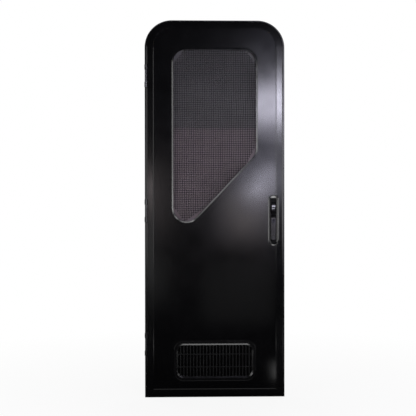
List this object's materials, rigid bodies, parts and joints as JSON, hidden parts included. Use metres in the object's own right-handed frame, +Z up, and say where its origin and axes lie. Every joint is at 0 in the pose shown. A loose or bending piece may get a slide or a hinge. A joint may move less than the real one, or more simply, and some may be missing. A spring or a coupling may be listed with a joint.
{
  "type": "caravan entry door",
  "caption": "Hinged caravan entry door in a flanged jamb, with a sloped mesh window, a low vent grille and a flush pull lock.",
  "frame": {"origin": "middle of the flange's lower edge, on the flange's back face, which lies on the wall", "axes": "+X to the lock side, +Y into the vehicle, +Z up"},
  "size_m": [0.666, 0.078, 1.793],
  "materials": {
    "jamb_coating": "black satin powder coat",
    "frame_coating": "black semi-gloss coating",
    "skin_paint": "black gloss paint",
    "inner_skin_paint": "black satin paint",
    "core_foam": "cut foam",
    "seal_rubber": "matt",
    "rim_plastic": "moulded, semi-gloss",
    "mesh_wire": "dark grey coated wire",
    "smoked_pane": "smoked, clear surface",
    "vent_plastic": "moulded, fine texture",
    "fly_mesh": "woven black mesh",
    "lock_plastic": "moulded, semi-gloss",
    "paddle_coating": "black gloss coating",
    "key_metal": "black chromed",
    "pin_steel": "blackened steel",
    "latch_steel": "zinc plated",
    "hinge_coating": "black powder coat",
    "handle_coating": "black satin coating"
  },
  "bodies": {
    "jamb": {"jamb_flange_stiles": "jamb_coating", "jamb_wall_stiles": "jamb_coating", "jamb_stop_stiles": "jamb_coating", "jamb_head": "jamb_coating", "jamb_sill": "jamb_coating", "door_seal": "seal_rubber", "keeper_plates": "latch_steel", "hinge_jamb_halves": "hinge_coating", "hinge_pins": "pin_steel"},
    "leaf": {"leaf_lip_stiles": "frame_coating", "leaf_wall_stiles": "frame_coating", "leaf_head": "frame_coating", "leaf_bottom_rail": "frame_coating", "outer_skin": "skin_paint", "core_head": "core_foam", "core_hinge_side": "core_foam", "core_lock_head": "core_foam", "core_lock_block": "core_foam", "core_lock_foot": "core_foam", "core_slope": "core_foam", "core_lower": "core_foam", "inner_skin": "inner_skin_paint", "window_bezel": "rim_plastic", "window_mesh": "mesh_wire", "window_pane": "smoked_pane", "window_inner_trim": "rim_plastic", "vent_bezel": "vent_plastic", "vent_grille": "vent_plastic", "vent_fly_mesh": "fly_mesh", "vent_inner_cover": "vent_plastic", "lock_escutcheon": "lock_plastic", "paddle_pin": "pin_steel", "latch_plates": "latch_steel", "latch_bolts": "latch_steel", "inner_handle_plate": "handle_coating", "inner_handle_lever": "handle_coating", "inner_snib": "handle_coating", "hinge_leaf_halves": "hinge_coating"},
    "paddle": {"lock_paddle": "paddle_coating"},
    "key": {"key_barrel": "key_metal"}
  },
  "joints": [
    {"name": "leaf_swing", "type": "hinge", "parent": "jamb", "child": "leaf", "pos_m": [-0.3265, -0.013, 0.8965], "axis": [0, 0, -1], "range_deg": [0, 180]},
    {"name": "paddle_pull", "type": "hinge", "parent": "leaf", "child": "paddle", "pos_m": [0.279, -0.01, 0.8715], "axis": [1, 0, 0], "range_deg": [0, 35], "stiffness_Nm_per_rad": 0.4},
    {"name": "key_turn", "type": "hinge", "parent": "leaf", "child": "key", "pos_m": [0.279, -0.0075, 0.839], "axis": [0, 1, 0], "range_deg": [0, 90]}
  ]
}
